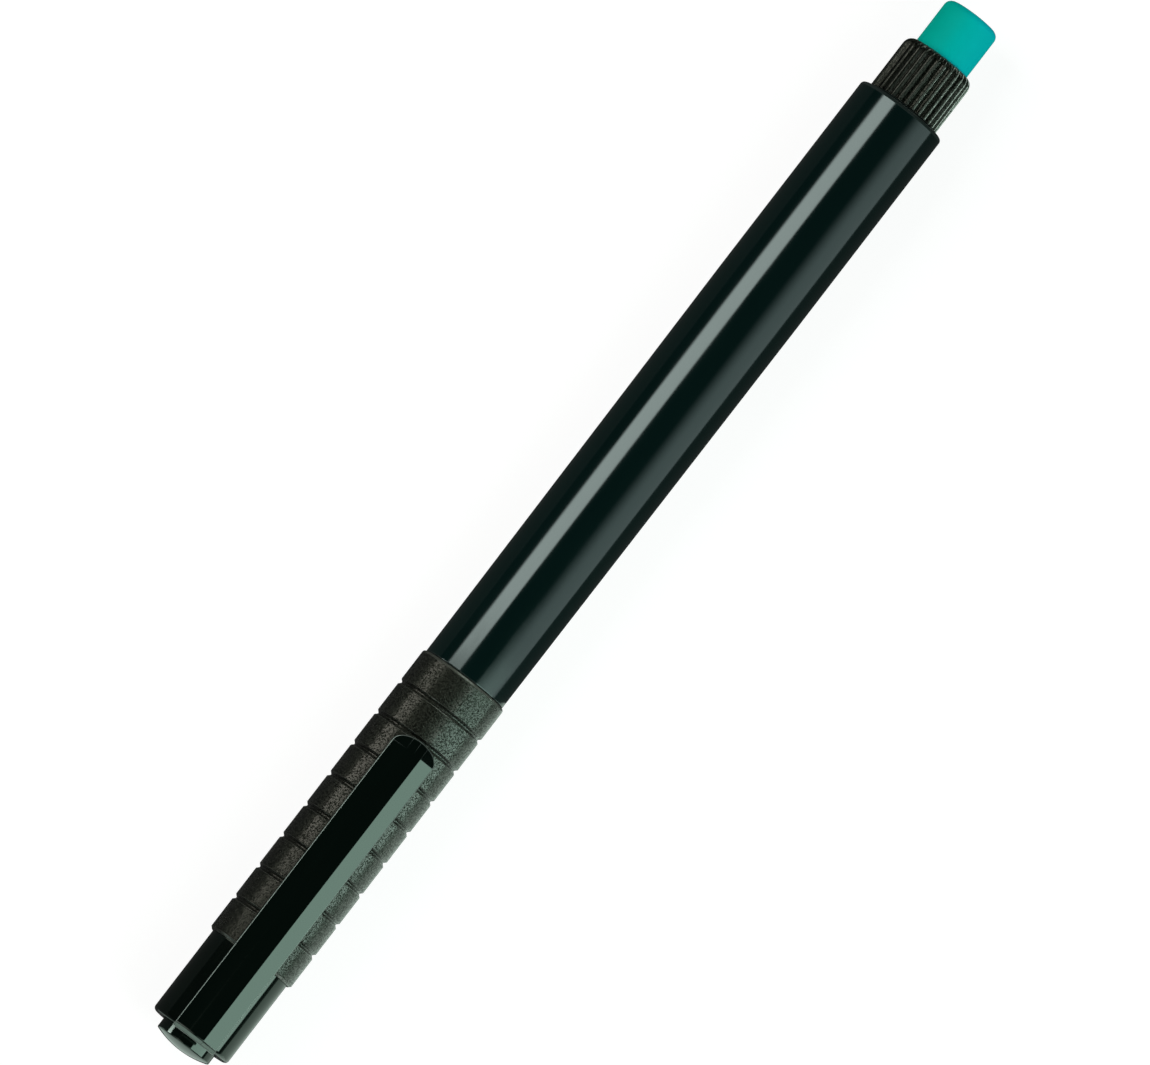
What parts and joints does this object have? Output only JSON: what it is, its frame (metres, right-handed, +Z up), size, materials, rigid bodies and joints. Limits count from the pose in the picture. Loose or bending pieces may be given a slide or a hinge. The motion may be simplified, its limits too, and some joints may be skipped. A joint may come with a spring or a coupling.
{
  "type": "pattern transfer pen",
  "caption": "Capped fibre-tip pen with a ribbed grip cap, a faceted pocket clip, a gloss barrel, a fluted eraser holder and a rounded eraser at the rear end.",
  "frame": {"origin": "on the surface that the pen lies on, under the middle of its length and width, with the clip up", "axes": "+X along the pen from the cap's domed end to the eraser, +Z up through the clip, +Y across"},
  "size_m": [0.145, 0.0112, 0.0136],
  "materials": {
    "gloss_barrel": "polished black polystyrene",
    "gloss_cap": "polished black polypropylene",
    "matt_grip": "fine spark-eroded grain, matt black",
    "matt_ring": "grained black with axial flutes",
    "eraser_teal": "smooth matt teal",
    "seal_white": "natural polyethylene",
    "holder_grey": "satin dark grey",
    "nib_fibre": "ink-soaked bonded fibre",
    "reservoir_fibre": "bundled polyester fibre",
    "reservoir_film": "clear film"
  },
  "bodies": {
    "pen_body": {"barrel": "gloss_barrel", "nib_holder": "holder_grey", "nib": "nib_fibre", "ink_reservoir": "reservoir_fibre", "reservoir_wrap": "reservoir_film"},
    "cap": {"cap_shell": "matt_grip", "clip_collar": "gloss_cap", "end_plug": "gloss_cap", "inner_cap": "seal_white"},
    "clip_arm": {"clip": "gloss_cap"},
    "eraser_end": {"eraser_holder": "matt_ring", "eraser": "eraser_teal"}
  },
  "joints": [
    {"name": "cap_pull", "type": "slide", "parent": "pen_body", "child": "cap", "axis": [-1, 0, 0], "range_m": [0, 0.06]},
    {"name": "clip_flex", "type": "hinge", "parent": "cap", "child": "clip_arm", "pos_m": [-0.07069, 0, 0.01012], "axis": [0, -1, 0], "range_deg": [0, 4], "stiffness_Nm_per_rad": 1},
    {"name": "eraser_pull", "type": "slide", "parent": "pen_body", "child": "eraser_end", "axis": [1, 0, 0], "range_m": [0, 0.015]}
  ]
}
